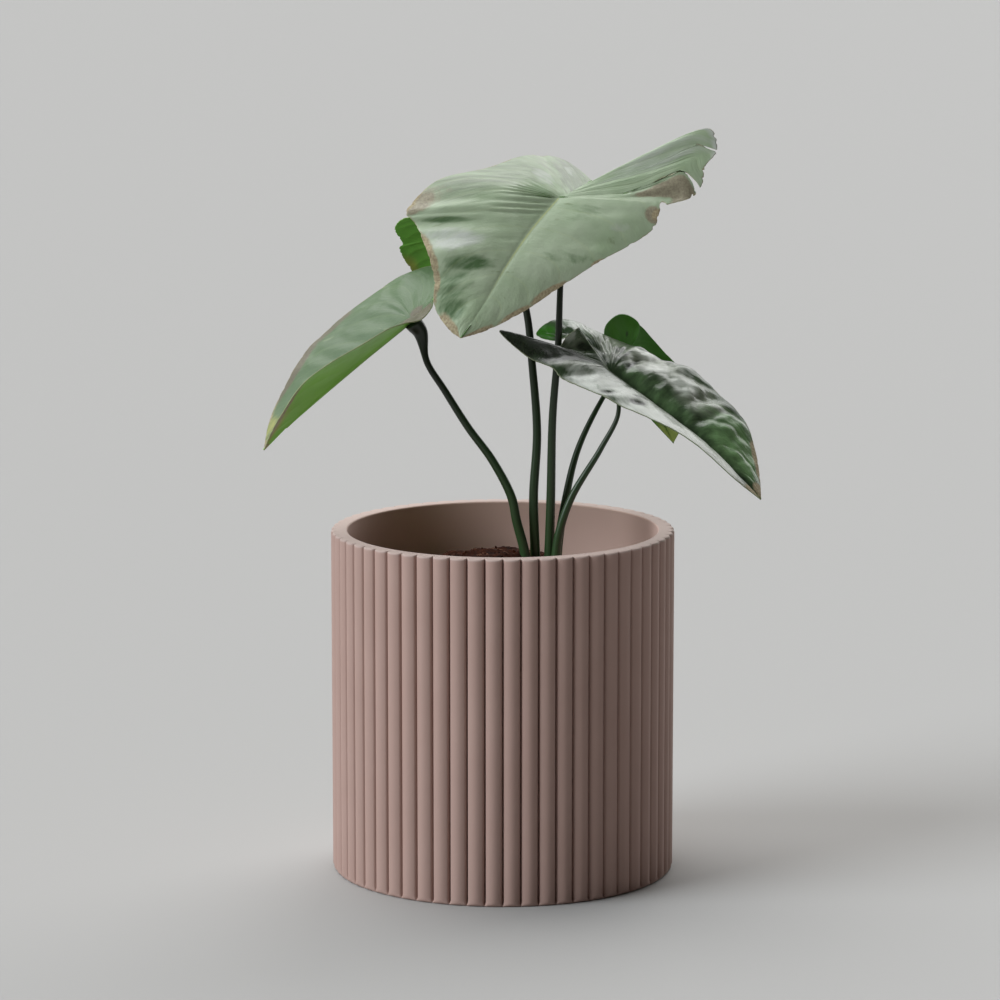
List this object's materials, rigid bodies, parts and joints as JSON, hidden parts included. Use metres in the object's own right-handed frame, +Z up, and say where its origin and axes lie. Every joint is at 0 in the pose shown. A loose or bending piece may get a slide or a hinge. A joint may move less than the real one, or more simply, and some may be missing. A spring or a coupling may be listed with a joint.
{
  "type": "potted taro",
  "caption": "Taro house plant with arrow-shaped leaves on long petioles, growing in a ribbed round ceramic pot.",
  "frame": {"origin": "centre of the pot's flat base", "axes": "+Z up, out of the pot; -Y to the front, where the large top leaf hangs; +X to the right seen from the front"},
  "size_m": [0.2868, 0.1998, 0.4321],
  "materials": {
    "pot_ceramic": "matte, dusty pink, unglazed",
    "soil": "fibrous red-brown potting mix",
    "corm": "rough brown skin with ring scars",
    "petiole": "smooth dark green, waxy",
    "leaf_pale": "pale sage green with tan dry margins, waxy",
    "leaf_dark": "dark green, blistered and glossy",
    "leaf_green": "saturated green, satin"
  },
  "bodies": {
    "root": {"pot": "pot_ceramic", "soil": "soil", "corm": "corm", "petiole_top": "petiole", "petiole_left": "petiole", "petiole_right": "petiole", "petiole_back_right": "petiole", "petiole_back_left": "petiole", "leaf_top": "leaf_pale", "leaf_left": "leaf_pale", "leaf_right": "leaf_dark", "leaf_back_right": "leaf_green", "leaf_back_left": "leaf_green"}
  },
  "joints": []
}
